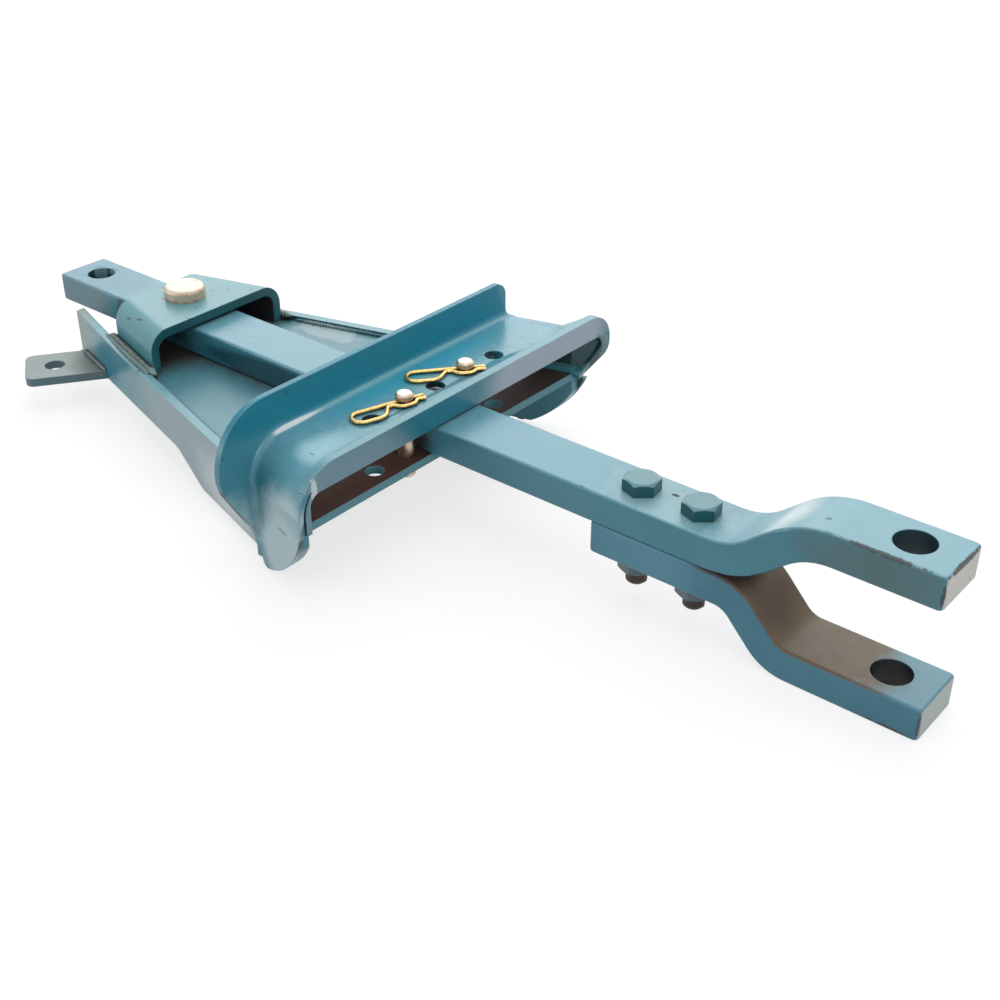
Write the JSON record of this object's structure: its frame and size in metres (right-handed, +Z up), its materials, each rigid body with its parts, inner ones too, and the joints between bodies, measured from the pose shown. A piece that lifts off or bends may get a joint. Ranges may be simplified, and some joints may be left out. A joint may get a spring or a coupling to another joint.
{
  "type": "swinging drawbar",
  "caption": "Tractor drawbar with a clevis hitch that swings on a pivot pin in a welded frame and is held in a slotted guide by stop pins.",
  "frame": {"origin": "on the axis of the hitch pin holes, half way between the two jaws", "axes": "+X back along the bar towards the hitch end, +Y to the right side of the tractor, +Z up along the hitch pin"},
  "size_m": [0.8845, 0.3852, 0.1379],
  "materials": {
    "frame_paint": "worn light blue-green gloss paint",
    "bar_paint": "worn light blue-green gloss paint",
    "bolt_paint": "darker blue-green gloss paint",
    "bright_steel": "bright turned steel",
    "gilt_wire": "yellow plated spring wire"
  },
  "bodies": {
    "frame": {"floor_plate": "frame_paint", "left_side_rail": "frame_paint", "right_side_rail": "frame_paint", "left_mounting_lug": "frame_paint", "right_mounting_lug": "frame_paint", "pivot_bracket": "frame_paint", "left_bracket_weld": "frame_paint", "right_bracket_weld": "frame_paint", "guide_arch": "frame_paint", "guide_slot_plate": "frame_paint", "guide_bottom_plate": "frame_paint", "pivot_pin": "bright_steel", "pivot_washer": "frame_paint", "pivot_split_pin": "bright_steel"},
    "swing_bar": {"drawbar": "bar_paint", "clevis_strap": "bar_paint", "front_clevis_bolt": "bolt_paint", "rear_clevis_bolt": "bolt_paint", "front_spring_washer": "bolt_paint", "rear_spring_washer": "bolt_paint", "front_clevis_nut": "bolt_paint", "rear_clevis_nut": "bolt_paint"},
    "left_pin": {"left_stop_pin": "bright_steel", "left_hairpin_clip": "gilt_wire"},
    "right_pin": {"right_stop_pin": "bright_steel", "right_hairpin_clip": "gilt_wire"}
  },
  "joints": [
    {"name": "drawbar_swing", "type": "hinge", "parent": "frame", "child": "swing_bar", "pos_m": [-0.698, 0, 0.0112], "axis": [0, 0, 1], "range_deg": [-0.5, 0.5]},
    {"name": "left_stop_pin_lift", "type": "slide", "parent": "frame", "child": "left_pin", "axis": [0, 0, 1], "range_m": [0, 0.07]},
    {"name": "right_stop_pin_lift", "type": "slide", "parent": "frame", "child": "right_pin", "axis": [0, 0, 1], "range_m": [0, 0.07]}
  ]
}
